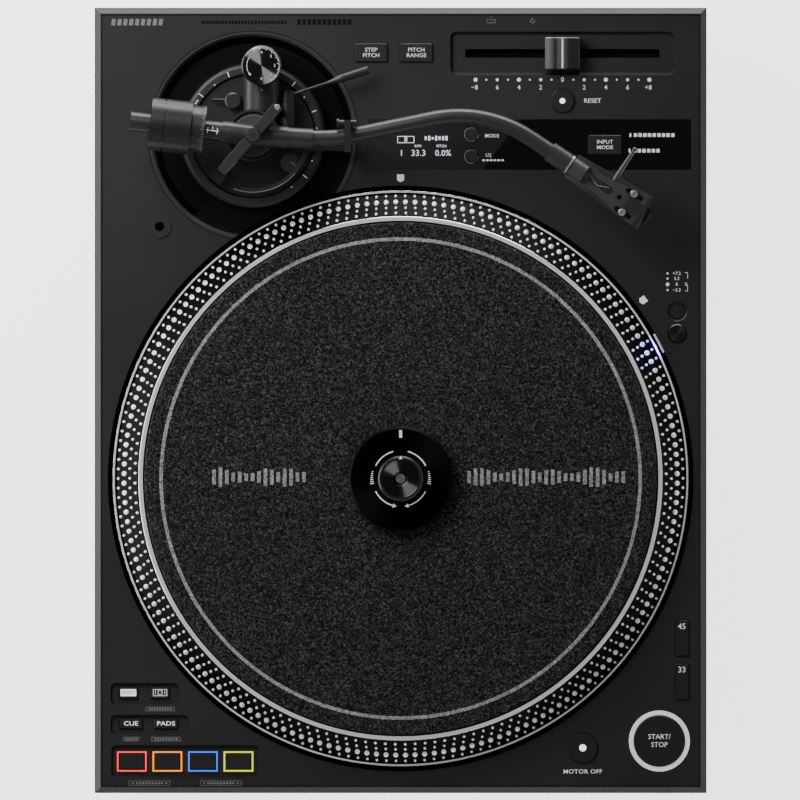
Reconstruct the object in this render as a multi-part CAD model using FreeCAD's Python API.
import FreeCAD, Part
import math
import os

# A direct-drive record player for DJ use: cabinet, platter, S-shaped tonearm and panel controls.
# Millimetres. +Z is up, -Y is the side the user stands at, and the origin is on the floor
# under the middle of the cabinet.

V = FreeCAD.Vector

# ---------------------------------------------------------------- driving dimensions
# Cabinet
BODY_W = 353.0
BODY_D = 453.0
PANEL_TOP = 100.0
PANEL_T = 5.0
FRAME_WALL = 6.0
FRAME_BOTTOM = 50.0
BEVEL = 3.5
BEVEL_LAND = 0.7
CREST = 0.6
PANEL_GAP = 0.1
COVER_BOTTOM = 30.0
COVER_WALL = 4.0
COVER_INSET = 1.5
COVER_CHAMFER = 4.0
COVER_CORNER = 6.0
LEFT = -BODY_W / 2
RIGHT = BODY_W / 2
FRONT = -BODY_D / 2
REAR = BODY_D / 2
PANEL_UNDER = PANEL_TOP - PANEL_T
COVER_FLOOR = COVER_BOTTOM + COVER_WALL

# Feet
FOOT_R = 28.0
FOOT_INSET = 47.0
FOOT_PAD_H = 6.0
FOOT_STEM_R = 5.0
FOOT_STEM_TOP = 46.0
FOOT_GAP = 0.3
FOOT_BOSS_R = 12.0

# Platter and its drive
PLATTER_X = 0.0
PLATTER_Y = FRONT + 181.5
PLATTER_R = 166.2
PLATTER_SEAT = 116.0
SKIRT_BOTTOM = 93.0
LIP_W = 1.6
LIP_TOP = 103.4
SLOPE_W = 13.6
RING_W = 2.6
RING_RISE = 0.9
WEB_T = 7.0
SKIRT_T = 9.0
HUB_R = 20.0
HUB_BOTTOM = 88.0
WELL_CLEAR = 2.6
WELL_WALL = 1.5
WELL_FLOOR = 77.0
WELL_FLOOR_T = 3.0
WELL_R = PLATTER_R + WELL_CLEAR
WELL_OUT = WELL_R + WELL_WALL
SPINDLE_R = 5.0
SPINDLE_PIN_R = 3.6
SPINDLE_TOP = 134.5
CONE_BASE_R = 9.0
CONE_TOP_R = 7.0
CONE_TOP = 112.0
RUN_FIT = 0.05
HOUSING_WALL = 7.0
HOUSING_BOTTOM = 56.0
HOUSING_TOP = 87.0
HOUSING_FLANGE = 12.0
THRUST_T = 3.0
MAGNET_IN = 60.0
MAGNET_OUT = 85.0
MAGNET_T = 8.0
COIL_COUNT = 12
COIL_R = 13.0
COIL_BORE = 5.0
COIL_TOP = 96.0

# Slipmat and record clamp
MAT_T = 2.0
MAT_GAP = 0.05
MAT_EDGE_GAP = 0.8
MAT_HOLE_CLEAR = 0.3
CLAMP_R = 30.2
CLAMP_H = 9.0
CLAMP_RING_R = 21.3
CLAMP_DIAL_R = 13.1
CLAMP_DIAL_H = 10.0
CLAMP_GAP = 0.1

# Tonearm
PIVOT_TO_SPINDLE = 215.0
PIVOT_DX = -85.0
PIVOT_X = PLATTER_X + PIVOT_DX
PIVOT_Y = PLATTER_Y + math.sqrt(PIVOT_TO_SPINDLE ** 2 - PIVOT_DX ** 2)
ARM_Z = 141.0
PAN_R = 60.8
PAN_RIM = 3.3
PAN_FLOOR = 94.0
PAN_BOTTOM = 90.0
PAN_FLAT_FROM = 234.0
PAN_FLAT_TO = 346.0
GUIDE_R = 30.0
GUIDE_BOTTOM = 70.0
COLUMN_R = 26.0
RING_IN = 35.6
RING_OUT = 42.0
HEIGHT_RING_TOP = 106.0
RING_GAP = 0.4
BASE_PLATE_TOP = 104.0
PILLAR_R = 15.1
PILLAR_TOP = 130.4
BRIDGE_DEG = 49.0
BRIDGE_W = 6.0
BRIDGE_T = 3.0
BRIDGE_POST_A = 22.6
BRIDGE_POST_B = 28.0
GIMBAL_HALF_W = 10.0
GIMBAL_HALF_H = 8.0
GIMBAL_WALL = 2.0
GIMBAL_DEPTH = 5.0
GIMBAL_GAP = 0.6
YAW_PIN_R = 1.5
PITCH_PIN_R = 1.2
TUBE_R = 4.75
BLOCK_R = 6.4
SHAFT_R = 5.7
REAR_DEG = 173.4
FRONT_DEG = -3.3
SHAFT_END = 71.0
WEIGHT_R = 15.2
WEIGHT_FROM = 36.0
WEIGHT_TO = 59.5
SCALE_RING_R = 13.4
SCALE_RING_W = 8.0
ARM_BEND_A = (51.0, -1.5)
ARM_BEND_B_ALONG = -59.5
ARM_ARC_A = 90.0
ARM_ARC_B = 74.0
SHELL_DEG = -33.5
SHELL_BACK = (183.3, -17.4)
SHELL_L = 50.0
SHELL_BACK_W = 15.3
SHELL_FRONT_W = 21.0
SHELL_T = 2.4
SHELL_DROP = 2.0
CARTRIDGE_SCREW_AT = 39.0
CARTRIDGE_SCREW_GAP = 12.7
STYLUS_AT = 50.0
STYLUS_Z = 124.0
COLLAR_R = 6.0
COLLAR_L = 13.0

# Arm furniture, placed from the pivot
ANTISKATE_AT = (4.9, 40.2)
ANTISKATE_R = 11.5
ANTISKATE_H = 8.5
ANTISKATE_BASE = 130.0
TOWER_BOTTOM = 107.5
TOWER_W = 20.5
CUE_AT = (19.8, 12.4)
CUE_R = 4.25
CUE_L = 14.1
CUE_Z = 118.0
CUE_TIP = (66.2, 38.0)
CUE_DROP = 5.3
CUE_ROD_R = 0.9
CUE_GRIP_R = 2.35
LIFT_HUB_AT = (21.1, -15.6)
LIFT_HUB_R = 5.3
LIFT_ARC_R = 31.6
LIFT_FROM = -103.5
LIFT_TO = -18.0
LIFT_TOP = 129.0
LIFT_BAR_T = 3.0
LIFT_PISTON_R = 2.5
LIFT_HEAD_T = 4.0
LIFT_GUIDE_R = 4.3
REST_AT = (54.5, -0.7)
REST_GAP = 1.6
CLIP_W = 3.8
CLIP_RISE = 5.1
LOCK_AT = (-11.5, 20.2)
LOCK_R = 4.8

# Panel controls: each place is measured from the edge that it keeps to
KEY_GAP = 0.2
KEY_FLANGE = 1.2
KEY_FLANGE_T = 3.0
KEY_PROUD = 1.4
RECESS_DEPTH = 2.4
FADER_AT = (RIGHT - 83.2, REAR - 26.4)
FADER_TRAVEL = 50.0
FADER_RECESS_W = 129.4
FADER_RECESS_D = 25.1
FADER_SLOT_L = 112.0
FADER_SLOT_W = 5.0
FADER_CAP_W = 20.2
FADER_CAP_D = 18.6
FADER_CAP_TOP = 107.0
WINDOW_LEFT = -20.0
WINDOW_SKEW = 1.25
WINDOW_RIGHT = RIGHT - 9.0
WINDOW_FRONT = REAR - 93.5
WINDOW_REAR = REAR - 64.4
WINDOW_T = 2.0
WINDOW_LEDGE = 2.0
START_AT = (RIGHT - 27.3, FRONT + 30.1)
START_R = 14.7
START_RING_IN = 15.0
START_RING_OUT = 17.6
TARGET_AT = (RIGHT - 17.0, 38.5)
TARGET_R = 5.5
TARGET_BOTTOM = 72.0
SOCKET_AT = (LEFT + 37.5, PLATTER_Y + 145.3)
SOCKET_R = 2.7
SOCKET_BOSS_R = 6.8
SOCKET_DEPTH = 10.0
PAD_RECESS = (LEFT + 9.7, LEFT + 94.7, FRONT + 9.1, FRONT + 27.7)
MODE_RECESS = (LEFT + 9.3, LEFT + 54.2, FRONT + 33.7, FRONT + 45.2)
SHIFT_RECESS = (LEFT + 9.3, LEFT + 48.7, FRONT + 51.2, FRONT + 63.5)
RECESS_CORNER = 2.0
PAD_PITCH = 20.5
PAD_FIRST = LEFT + 21.5
PAD_Y = FRONT + 18.3

# Boards inside
BOARD_T = 1.6
BOARD_TOP = 85.6
POST_R = 2.5
SWITCH_SIZE = 5.0
SWITCH_H = 2.0
MAIN_BOARD_Z = 60.0

# Rear sockets
JACK_X0 = -136.0
JACK_X1 = 132.0
JACK_Z0 = 58.0
JACK_Z1 = 88.0
JACK_DEPTH = 12.0
JACK_WALL = 1.5
JACK_Z = (JACK_Z0 + JACK_Z1) / 2
RCA_R = 4.2
RCA_L = 9.0
RCA_XS = (-120.0, -102.0)
GROUND_X = -84.0
GROUND_R = 2.0
INLET_X = 108.0
PORT_X = 52.2
ROCKER_X = 76.1
ROCKER_W = 10.0
ROCKER_H = 20.0
ROCKER_PIN = 0.15
ROCKER_PIN_R = 1.5

# Screws
SCREW_R = 2.0
SCREW_HEAD_R = 3.8
SCREW_HEAD_H = 3.0
SCREW_TOP = 62.0
SCREW_INSET = 12.0
SCREW_BOSS_R = 5.0

# name: x, y, width (or diameter), depth, corner radius, and how far its panel floor is sunk
ROUND = 0.0
KEYS = {
    "step_pitch_button": (-17.0, REAR - 26.0, 18.9, 10.8, 1.0, 0.0),
    "tempo_range_button": (9.1, REAR - 26.0, 18.9, 10.8, 1.0, 0.0),
    "reset_button": (FADER_AT[0], REAR - 53.8, 13.8, ROUND, 0.0, 0.0),
    "needle_mode_button": (RIGHT - 58.7, REAR - 79.1, 19.5, 11.3, 1.0, 0.0),
    "view_button": (40.8, REAR - 73.0, 8.0, ROUND, 0.0, 0.0),
    "deck_button": (40.8, REAR - 85.8, 8.0, ROUND, 0.0, 0.0),
    "shift_button": (LEFT + 19.5, FRONT + 58.0, 11.1, 7.2, 0.8, RECESS_DEPTH),
    "grid_button": (LEFT + 37.8, FRONT + 58.0, 11.1, 7.2, 0.8, RECESS_DEPTH),
    "hot_cue_button": (LEFT + 21.0, FRONT + 40.1, 13.7, 6.0, 0.8, RECESS_DEPTH),
    "sampler_button": (LEFT + 41.2, FRONT + 40.1, 13.7, 6.0, 0.8, RECESS_DEPTH),
    "speed_45_button": (RIGHT - 14.3, FRONT + 89.4, 7.8, 20.8, 1.0, 0.0),
    "speed_33_button": (RIGHT - 14.3, FRONT + 64.4, 7.8, 20.8, 1.0, 0.0),
    "start_stop_button": (START_AT[0], START_AT[1], 2 * START_R, ROUND, 0.0, 0.0),
    "motor_off_button": (RIGHT - 71.5, FRONT + 26.2, 17.4, ROUND, 0.0, 0.0),
    "light_button": (RIGHT - 17.0, 51.4, 8.4, ROUND, 0.0, 0.0),
}
for number in range(4):
    pad_x = PAD_FIRST + number * PAD_PITCH
    KEYS["pad_%d" % (number + 1)] = (pad_x, PAD_Y, 14.7, 9.3, 0.8, RECESS_DEPTH)
WINDOW_KEYS = ("needle_mode_button", "view_button", "deck_button")


# ---------------------------------------------------------------- shared shape makers

# Boards under the panel: left, right, front and rear edges of each
BOARD_INSET = 9.0
BOARD_AREAS = [
    (-20.0, RIGHT - BOARD_INSET, REAR - 92.0, REAR - 19.0),
    (LEFT + BOARD_INSET, LEFT + 96.0, FRONT + BOARD_INSET, FRONT + 29.0),
    (LEFT + BOARD_INSET, LEFT + 48.0, FRONT + 29.0, FRONT + 65.0),
    (RIGHT - 82.0, RIGHT - BOARD_INSET, FRONT + BOARD_INSET, FRONT + 36.0),
    (RIGHT - 20.0, RIGHT - BOARD_INSET, FRONT + 36.0, FRONT + 108.0),
]
BOARD_POSTS = [
    (-12.0, REAR - 50.0),
    (60.0, REAR - 50.0),
    (RIGHT - 26.0, REAR - 50.0),
    (RIGHT - 14.0, REAR - 22.0),
    (LEFT + 12.5, FRONT + 30.5),
    (LEFT + 93.0, FRONT + 26.5),
    (LEFT + 12.5, FRONT + 48.5),
    (RIGHT - 12.0, FRONT + 12.0),
    (RIGHT - 53.0, FRONT + 13.0),
    (RIGHT - 14.3, FRONT + 49.5),
    (RIGHT - 14.3, FRONT + 105.0),
]
MAIN_BOARD = (-60.0, 60.0, 62.0, 122.0)
MAIN_POST_INSET = 5.0
LEFT_BANK_EDGE = -30.0
FADER_BODY_MARGIN = 6.0
FADER_BODY_H = 3.5
CHIP_COUNT = 3
CHIP_FIRST = 22.0
CHIP_PITCH = 34.0
CHIP_FRONT = 20.0
CHIP_SIDE = 14.0
CHIP_H = 3.0
SUPPLY_BOARD = (84.0, 148.0, 90.0, 162.0)
TRANSFORMER = (94.0, 128.0, 98.0, 128.0)
TRANSFORMER_TOP = 26.0
CAPACITOR_AT = (138.0, 146.0)
CAPACITOR_R = 6.0
CAPACITOR_TOP = 24.0

# Rear socket details
RCA_BACK = 10.0
RCA_FLANGE = 1.8
RCA_FLANGE_T = 1.5
RCA_BORE = 1.6
GROUND_BACK = 6.0
GROUND_NUT_R = 4.0
GROUND_NUT_T = 4.0
SOCKET_PROUD = 2.0
INLET_HALF_W = 14.0
INLET_HALF_H = 10.0
INLET_BACK = 18.0
INLET_WALL = 2.0
INLET_MOUTH = 14.0
BLADES = ((-7.0, -1.5), (0.0, 2.5), (7.0, -1.5))
BLADE_HALF_W = 1.0
BLADE_HALF_H = 2.0
PORT_HALF_W = 6.0
PORT_HALF_H = 5.5
PORT_BACK = 14.0
PORT_MOUTH = 9.0
PORT_MOUTH_HALF_W = 4.4
PORT_MOUTH_HALF_H = 4.0
TONGUE_HALF_W = 2.8
TONGUE_HALF_H = 1.6
ROCKER_EDGE_GAP = 0.6
ROCKER_BACK = 5.0
ROCKER_CREST = 4.5
ROCKER_VALLEY = 2.5

# Small parts of the panel
SOCKET_RIM = 0.8
DIMPLE_R = 5.9
DIMPLE_FLOOR_R = 4.6
DIMPLE_DEPTH = 1.0
FADER_RECESS_CORNER = 2.0
FADER_RECESS_FLARE = 1.6
KEY_RECESS_FLARE = 0.8
LIGHT_RING_PROUD = 0.4
LENS_T = 1.2
LENS_HALF_W = 6.0
LENS_MARGIN = 8.0

# Foot and screw details
FOOT_SHOULDER = 8.0
FOOT_TOP_DROP = 4.0
FOOT_TOP_STEP = 3.0
FOOT_NECK = 0.6
SCREW_SLOT_HALF = 3.0
SCREW_SLOT_W = 1.0
SCREW_SLOT_DEPTH = 1.0

# Arm rest and clip details
REST_FOOT_GAP = 1.2
REST_ARM_T = 3.0
REST_ARM_FROM = 26.0
REST_RISER_W = 4.0
REST_ARM_NEAR = 2.0
REST_ARM_FAR = 8.0
REST_STEM_R = 3.2
SADDLE_HALF_W = 3.0
SADDLE_FRONT = 5.0
SADDLE_WALL_T = 3.45
SADDLE_T = 3.0
SADDLE_WALL_GAP = 1.2
CLIP_HINGE_AT = 2.95
CLIP_HINGE_RISE = 3.2
CLIP_BARREL_R = 1.9
CLIP_BARREL_HALF = 5.0
CLIP_KNOB_R = 2.6
CLIP_KNOB_T = 1.2
CLIP_T = 1.5
CLIP_REACH = 9.0

# Bridge and gimbal details
BRIDGE_LEG_A = 4.0
BRIDGE_LEG_B = 5.0
TOE_L = 6.0
TOE_H = 6.0
TOE_SIDE = 1.0
BRIDGE_CAP_H = 2.4
BRIDGE_CAP_R = 4.5
BRIDGE_CAP_TOP_R = 3.8
YAW_PIN_REACH = 9.0
YAW_PIN_TOP = 2.0
PITCH_PIN_FROM = 4.0
PITCH_NUT_R = 2.2
PITCH_NUT_T = 1.2
DIAL_CHAMFER = 0.8
LOCK_H = 6.0
LOCK_BAR_Z = 4.0
LOCK_BAR_L = 12.0
LOCK_BAR_R = 0.85
LOCK_BAR_SHIFT = 0.5

# Headshell and cartridge details, measured from the shell's back end
SHELL_SOCKET_L = 9.0
SHELL_SOCKET_STEP = 0.5
WASHER_T = 1.4
WASHER_R = 4.25
PLUG_R = 3.6
SHELL_NOSE = 2.0
SHELL_SIDE_STEP = 0.5
LIP_H = 2.2
LIP_T = 1.2
LIP_FRONT_IN = 0.6
FINGER_AT = 25.2
FINGER_TIP = 27.9
FINGER_ROOT_R = 1.7
FINGER_TIP_R = 1.0
FINGER_KNOB_R = 1.3
FINGER_DROP = 1.2
FINGER_RISE = 1.8
WIRE_SLOT = (11.0, 26.0)
WIRE_SLOT_W = 4.2
SCREW_SLOTS = (35.4, 43.6)
SCREW_SLOT_SPAN = 3.2
SIGHT_HOLE_AT = 33.0
SIGHT_HOLE_R = 1.4
PICKUP_FROM = 28.0
PICKUP_TO = 48.0
PICKUP_HALF_W = 7.2
PICKUP_H = 9.0
HOLDER_FROM = 36.0
HOLDER_TO = 54.0
HOLDER_HALF_W = 4.2
HOLDER_DROP = 2.5
HOLDER_H = 7.0
CANTILEVER_FROM = 44.0
CANTILEVER_DROP = 1.5
CANTILEVER_R = 0.6
TIP_H = 1.2
TIP_R = 0.15
PICKUP_SCREW_R = 1.25
PICKUP_HEAD_R = 2.3
PICKUP_HEAD_H = 1.6
PICKUP_HEAD_LAP = 0.5

# Turned details of the platter, the clamp, the height ring and the arm
SLOPE_STEP = 0.4
PLATTER_BEVEL = 0.3
CLAMP_GROOVE_W = 0.6
CLAMP_EDGE = 1.5
CLAMP_STEP = 0.5
CLAMP_GROOVE_D = 1.1
DIAL_GAP = 0.4
DIAL_RIM = 2.4
DIAL_DISH = 0.6
FLANGE_T = 3.0
CARRIER_IN = 8.0
CARRIER_OUT = 3.0
CARRIER_T = 3.0
THRUST_GAP = 0.3
PIN_TIP = 0.8
RING_SKIRT = 3.0
RING_EDGE = 0.8
RING_SHOULDER = 2.4
RING_INNER_EDGE = 0.6
PILLAR_WALL = 1.5
PILLAR_DISC_IN = 2.8
PILLAR_DISC_DROP = 0.4
LIFT_ARC_HALF = 1.3
WEIGHT_GROOVE_AT = 7.6
WEIGHT_GROOVE = 0.6
WEIGHT_GROOVE_D = 0.7
SCALE_RING_GAP = 0.1
ARM_BLOCK_FRONT = 20.3
ARM_BLOCK_REAR = 17.8
ARM_COLLAR_END = 34.6
CUE_HUB_L = 6.3
CUE_HUB_STEP = 0.3
CUE_AXLE_L = 7.0
CUE_AXLE_R = 1.5
LIGHT_KEY_DROP = 0.4
TARGET_PROUD = 0.8
TARGET_CHAMFER = 0.6
FADER_CHAMFER = 0.6
STEM_END_GAP = 0.8
STEM_SIDE_GAP = 0.4
STEM_FROM = 4.0


def block(x0, x1, y0, y1, z0, z1):
    return Part.makeBox(x1 - x0, y1 - y0, z1 - z0, V(x0, y0, z0))


def post(x, y, r, z0, z1):
    return Part.makeCylinder(r, z1 - z0, V(x, y, z0))


def rod(start, end, r):
    run = end.sub(start)
    return Part.makeCylinder(r, run.Length, start, run)


def taper(start, end, r_start, r_end):
    run = end.sub(start)
    return Part.makeCone(r_start, r_end, run.Length, start, run)


def turned(profile, x, y):
    """A solid of revolution about the upright line at x, y from (radius, height) points."""
    points = [V(x + r, y, z) for r, z in profile]
    points.append(points[0])
    return Part.Face(Part.makePolygon(points)).revolve(V(x, y, 0), V(0, 0, 1), 360)


def rounded_wire(x0, x1, y0, y1, corner, z):
    """A rectangle with round corners, at height z."""
    mid = corner * (1 - math.sqrt(0.5))
    lines = [
        (V(x0 + corner, y0, z), V(x1 - corner, y0, z)),
        (V(x1, y0 + corner, z), V(x1, y1 - corner, z)),
        (V(x1 - corner, y1, z), V(x0 + corner, y1, z)),
        (V(x0, y1 - corner, z), V(x0, y0 + corner, z)),
    ]
    bends = [
        V(x1 - mid, y0 + mid, z),
        V(x1 - mid, y1 - mid, z),
        V(x0 + mid, y1 - mid, z),
        V(x0 + mid, y0 + mid, z),
    ]
    edges = []
    for index in range(4):
        edges.append(Part.makeLine(*lines[index]))
        following = lines[(index + 1) % 4]
        edges.append(Part.Arc(lines[index][1], bends[index], following[0]).toShape())
    return Part.Wire(edges)


def slab(x0, x1, y0, y1, corner, z0, z1):
    """A plate with round upright corners."""
    return Part.Face(rounded_wire(x0, x1, y0, y1, corner, z0)).extrude(V(0, 0, z1 - z0))


def dish(x0, x1, y0, y1, corner, floor, top, draft):
    """A pocket whose walls lean outwards by draft from its floor to its top."""
    low = rounded_wire(x0 + draft, x1 - draft, y0 + draft, y1 - draft, corner, floor)
    high = rounded_wire(x0, x1, y0, y1, corner + draft, top)
    return Part.makeLoft([low, high], True, True)


def edges_at(shape, z):
    """The edges that lie flat at height z."""
    found = []
    for edge in shape.Edges:
        box = edge.BoundBox
        if abs(box.ZMin - z) < 0.001 and abs(box.ZMax - z) < 0.001:
            found.append(edge)
    return found


def join(first, others):
    return first.multiFuse(others).removeSplitter()


def from_pivot(offset, z):
    """A point given from the tonearm pivot."""
    return V(PIVOT_X + offset[0], PIVOT_Y + offset[1], z)


def polar(radius, degrees, z):
    """A point at a radius and heading from the tonearm pivot."""
    angle = math.radians(degrees)
    return V(PIVOT_X + radius * math.cos(angle), PIVOT_Y + radius * math.sin(angle), z)


def turn_from_x(shape, degrees):
    """Turn a shape modelled along +X at the pivot to its heading."""
    turned_shape = shape.copy()
    turned_shape.rotate(V(PIVOT_X, PIVOT_Y, 0), V(0, 0, 1), degrees)
    return turned_shape


def pie(radius, start, end, z0, z1):
    """A wedge about the pivot between two headings."""
    wedge = Part.makeCylinder(radius, z1 - z0, V(PIVOT_X, PIVOT_Y, z0), V(0, 0, 1), end - start)
    return turn_from_x(wedge, start)


# ---------------------------------------------------------------- cabinet
def screw_places():
    side = RIGHT - SCREW_INSET
    far = BODY_D / 3
    places = [(-side, -far), (-side, 0), (-side, far), (side, -far), (side, 0), (side, far)]
    places.append((0, FRONT + SCREW_INSET))
    places.append((0, REAR - SCREW_INSET - JACK_DEPTH))
    return places


def chassis_screws():
    """The screws that hold the bottom cover: each is a head and a shank."""
    screws = []
    for x, y in screw_places():
        head = post(x, y, SCREW_HEAD_R, COVER_BOTTOM, COVER_BOTTOM + SCREW_HEAD_H)
        slot = block(x - SCREW_SLOT_HALF, x + SCREW_SLOT_HALF, y - SCREW_SLOT_W / 2,
                     y + SCREW_SLOT_W / 2, COVER_BOTTOM, COVER_BOTTOM + SCREW_SLOT_DEPTH)
        shank = post(x, y, SCREW_R, COVER_BOTTOM + SCREW_HEAD_H, SCREW_TOP)
        screws.append(head.fuse(shank).cut(slot).removeSplitter())
    return Part.makeCompound(screws)


def screw_bores():
    """The clearance that each screw passes through."""
    bores = []
    for x, y in screw_places():
        bores.append(post(x, y, SCREW_R, COVER_BOTTOM, SCREW_TOP))
        bores.append(post(x, y, SCREW_HEAD_R, COVER_BOTTOM, COVER_BOTTOM + SCREW_HEAD_H))
    return bores


def side_frame():
    """The four bevelled walls, with a ledge that the top panel drops on to."""
    crest = PANEL_TOP + CREST
    frame = block(LEFT, RIGHT, FRONT, REAR, FRAME_BOTTOM, crest)
    frame = frame.makeChamfer(BEVEL, edges_at(frame, crest))
    inside = block(LEFT + FRAME_WALL, RIGHT - FRAME_WALL, FRONT + FRAME_WALL, REAR - FRAME_WALL,
                   FRAME_BOTTOM, PANEL_UNDER)
    rim = BEVEL + BEVEL_LAND
    seat = block(LEFT + rim, RIGHT - rim, FRONT + rim, REAR - rim, PANEL_UNDER, crest)
    window = block(JACK_X0, JACK_X1, REAR - FRAME_WALL, REAR, JACK_Z0, JACK_Z1)
    frame = frame.cut([inside, seat, window])
    bosses = []
    for x, y in screw_places():
        boss = post(x, y, SCREW_BOSS_R, FRAME_BOTTOM, SCREW_TOP + 2)
        if x != 0:
            web = block(min(x, math.copysign(RIGHT - FRAME_WALL, x)),
                        max(x, math.copysign(RIGHT - FRAME_WALL, x)),
                        y - SCREW_BOSS_R, y + SCREW_BOSS_R, FRAME_BOTTOM, SCREW_TOP + 2)
        elif y < 0:
            web = block(x - SCREW_BOSS_R, x + SCREW_BOSS_R, FRONT + FRAME_WALL, y,
                        FRAME_BOTTOM, SCREW_TOP + 2)
        else:
            web = block(x - SCREW_BOSS_R, x + SCREW_BOSS_R, y, REAR - FRAME_WALL,
                        FRAME_BOTTOM, JACK_Z0 - JACK_WALL - 1)
        bosses.append(boss)
        bosses.append(web)
    return join(frame, bosses).cut(screw_bores())


def bottom_cover():
    """The moulded tray under the cabinet, with foot bosses and board posts."""
    x0 = LEFT + COVER_INSET
    x1 = RIGHT - COVER_INSET
    y0 = FRONT + COVER_INSET
    y1 = REAR - COVER_INSET
    tray = slab(x0, x1, y0, y1, COVER_CORNER, COVER_BOTTOM, FRAME_BOTTOM)
    tray = tray.makeChamfer(COVER_CHAMFER, edges_at(tray, COVER_BOTTOM))
    wall = COVER_CHAMFER + 1.0
    hollow = slab(x0 + wall, x1 - wall, y0 + wall, y1 - wall, 2.0, COVER_FLOOR, FRAME_BOTTOM)
    tray = tray.cut(hollow)
    parts = []
    for x, y in foot_places():
        parts.append(post(x, y, FOOT_BOSS_R, COVER_FLOOR, FOOT_STEM_TOP + 2))
    for x, y in screw_places():
        parts.append(post(x, y, SCREW_BOSS_R, COVER_FLOOR, FRAME_BOTTOM))
    for x, y in main_board_posts():
        parts.append(post(x, y, POST_R + 1, COVER_FLOOR, MAIN_BOARD_Z))
    tray = join(tray, parts)
    cuts = screw_bores()
    for x, y in foot_places():
        cuts.append(post(x, y, FOOT_STEM_R + RUN_FIT, COVER_BOTTOM, FOOT_STEM_TOP + 1))
    return tray.cut(cuts)


def foot_places():
    x = RIGHT - FOOT_INSET
    y = REAR - FOOT_INSET
    return [(-x, -y), (x, -y), (-x, y), (x, y)]


def foot(x, y):
    """A levelling foot: rubber pad, damped body, neck and threaded stem."""
    top = COVER_BOTTOM - FOOT_GAP
    profile = [
        (0, 0),
        (FOOT_R - 2, 0),
        (FOOT_R - 1, 1),
        (FOOT_R - 1, FOOT_PAD_H),
        (FOOT_R, FOOT_PAD_H + 1),
        (FOOT_R, top - FOOT_SHOULDER),
        (FOOT_R - FOOT_TOP_STEP, top - FOOT_TOP_DROP),
        (FOOT_R * FOOT_NECK, top - FOOT_TOP_DROP),
        (FOOT_R * FOOT_NECK, top),
        (FOOT_STEM_R, top),
        (FOOT_STEM_R, FOOT_STEM_TOP - 1),
        (FOOT_STEM_R - 1, FOOT_STEM_TOP),
        (0, FOOT_STEM_TOP),
    ]
    return turned(profile, x, y)


def pan_outline(z0, z1, well_r):
    """The arm base's round footprint, cut back where the platter well passes."""
    disc = post(PIVOT_X, PIVOT_Y, PAN_R, z0, z1)
    return disc.cut(post(PLATTER_X, PLATTER_Y, well_r, z0, z1))


def key_body(name, z0, z1, grow):
    """The upright prism of one key, grown all round by a gap."""
    x, y, width, depth, corner, sunk = KEYS[name]
    if depth == ROUND:
        return post(x, y, width / 2 + grow, z0, z1)
    half_w = width / 2 + grow
    half_d = depth / 2 + grow
    return slab(x - half_w, x + half_w, y - half_d, y + half_d, corner + grow, z0, z1)


def main_board_posts():
    x0, x1, y0, y1 = MAIN_BOARD
    inset = MAIN_POST_INSET
    return [(x0 + inset, y0 + inset), (x1 - inset, y0 + inset),
            (x0 + inset, y1 - inset), (x1 - inset, y1 - inset)]


def window_wire(inset, z):
    """The display window's outline; its left side leans to follow the arm base."""
    corners = [
        V(WINDOW_LEFT - WINDOW_SKEW + inset, WINDOW_FRONT + inset, z),
        V(WINDOW_RIGHT - inset, WINDOW_FRONT + inset, z),
        V(WINDOW_RIGHT - inset, WINDOW_REAR - inset, z),
        V(WINDOW_LEFT + WINDOW_SKEW + inset, WINDOW_REAR - inset, z),
    ]
    return Part.makePolygon(corners + [corners[0]])


def fader_recess(depth):
    x, y = FADER_AT
    x0 = x - FADER_RECESS_W / 2
    y0 = y - FADER_RECESS_D / 2
    return dish(x0, x0 + FADER_RECESS_W, y0, y0 + FADER_RECESS_D, FADER_RECESS_CORNER,
                PANEL_TOP - depth, PANEL_TOP, FADER_RECESS_FLARE)


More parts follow.
